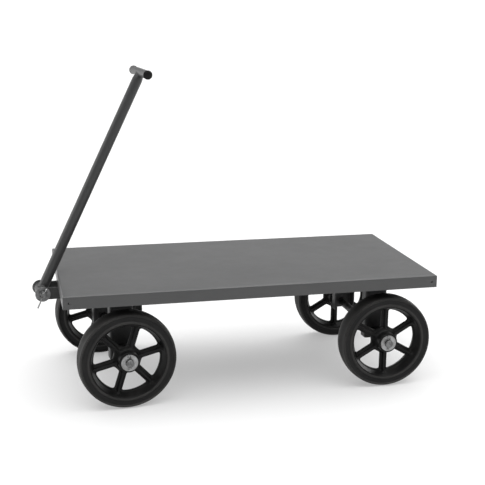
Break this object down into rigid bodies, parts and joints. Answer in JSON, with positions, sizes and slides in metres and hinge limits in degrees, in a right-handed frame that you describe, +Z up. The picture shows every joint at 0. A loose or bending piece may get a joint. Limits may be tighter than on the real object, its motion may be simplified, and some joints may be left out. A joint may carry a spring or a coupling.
{
  "type": "platform truck",
  "caption": "Four-wheel platform truck: flanged sheet deck, spoked rubber-tyred wheels, front gear that steers on a kingpin, and a T handle that folds down for towing.",
  "frame": {"origin": "on the floor, under the middle of the whole truck's length and width", "axes": "+X to the rear (the handle is at -X), +Y to the truck's right-hand side, +Z up"},
  "size_m": [1.3018, 0.6316, 1.0426],
  "materials": {
    "deck_paint": "satin grey enamel",
    "frame_paint": "satin grey enamel",
    "handle_paint": "satin dark grey enamel",
    "zinc": "bright zinc plating",
    "bearing_steel": "ground and greased",
    "race_steel": "dark rolled steel",
    "wheel_iron": "black enamel over a sand casting",
    "tyre_rubber": "black moulded-on rubber",
    "plug_plastic": "black"
  },
  "bodies": {
    "platform": {"deck_sheet": "deck_paint", "deck_stiffeners": "frame_paint", "deck_cross_members": "frame_paint", "king_plate": "frame_paint", "upper_race": "race_steel", "kingpin": "zinc", "kingpin_washer": "zinc", "kingpin_nut": "zinc", "kingpin_cotter": "zinc", "rear_bolster": "frame_paint", "rear_left_riser": "frame_paint", "rear_right_riser": "frame_paint", "rear_axle": "zinc", "rear_spacers": "race_steel", "rear_hub_washers": "zinc", "rear_cotter_pins": "zinc"},
    "front_gear": {"lower_race": "race_steel", "race_balls": "bearing_steel", "front_bolster": "frame_paint", "front_left_riser": "frame_paint", "front_right_riser": "frame_paint", "front_axle": "zinc", "front_spacers": "race_steel", "front_hub_washers": "zinc", "front_cotter_pins": "zinc", "left_handle_lug": "frame_paint", "right_handle_lug": "frame_paint", "pivot_bolt": "zinc", "pivot_washers": "zinc", "pivot_nut": "zinc", "pivot_cotter": "zinc"},
    "tow_handle": {"pivot_barrel": "handle_paint", "handle_shank": "handle_paint", "t_grip": "handle_paint", "grip_plugs": "plug_plastic"},
    "front_left_roller": {"front_left_tyre": "tyre_rubber", "front_left_wheel": "wheel_iron", "front_left_bearing": "bearing_steel"},
    "front_right_roller": {"front_right_tyre": "tyre_rubber", "front_right_wheel": "wheel_iron", "front_right_bearing": "bearing_steel"},
    "rear_left_roller": {"rear_left_tyre": "tyre_rubber", "rear_left_wheel": "wheel_iron", "rear_left_bearing": "bearing_steel"},
    "rear_right_roller": {"rear_right_tyre": "tyre_rubber", "rear_right_wheel": "wheel_iron", "rear_right_bearing": "bearing_steel"}
  },
  "joints": [
    {"name": "steer", "type": "hinge", "parent": "platform", "child": "front_gear", "pos_m": [-0.39472, 0, 0.3504], "axis": [0, 0, 1], "range_deg": [-15.7, 7.3]},
    {"name": "handle_swing", "type": "hinge", "parent": "front_gear", "child": "tow_handle", "pos_m": [-0.6231, -0.01677, 0.32135], "axis": [0.0732, -0.9973, 0], "range_deg": [0, 137]},
    {"name": "front_left_spin", "type": "hinge", "parent": "front_gear", "child": "front_left_roller", "pos_m": [-0.3757, -0.2589, 0.1557], "axis": [-0.0732, 0.9973, 0], "continuous": true},
    {"name": "front_right_spin", "type": "hinge", "parent": "front_gear", "child": "front_right_roller", "pos_m": [-0.41373, 0.2589, 0.1557], "axis": [-0.0732, 0.9973, 0], "continuous": true},
    {"name": "rear_left_spin", "type": "hinge", "parent": "platform", "child": "rear_left_roller", "pos_m": [0.48718, -0.2596, 0.1557], "axis": [0, 1, 0], "continuous": true},
    {"name": "rear_right_spin", "type": "hinge", "parent": "platform", "child": "rear_right_roller", "pos_m": [0.48718, 0.2596, 0.1557], "axis": [0, 1, 0], "continuous": true}
  ]
}
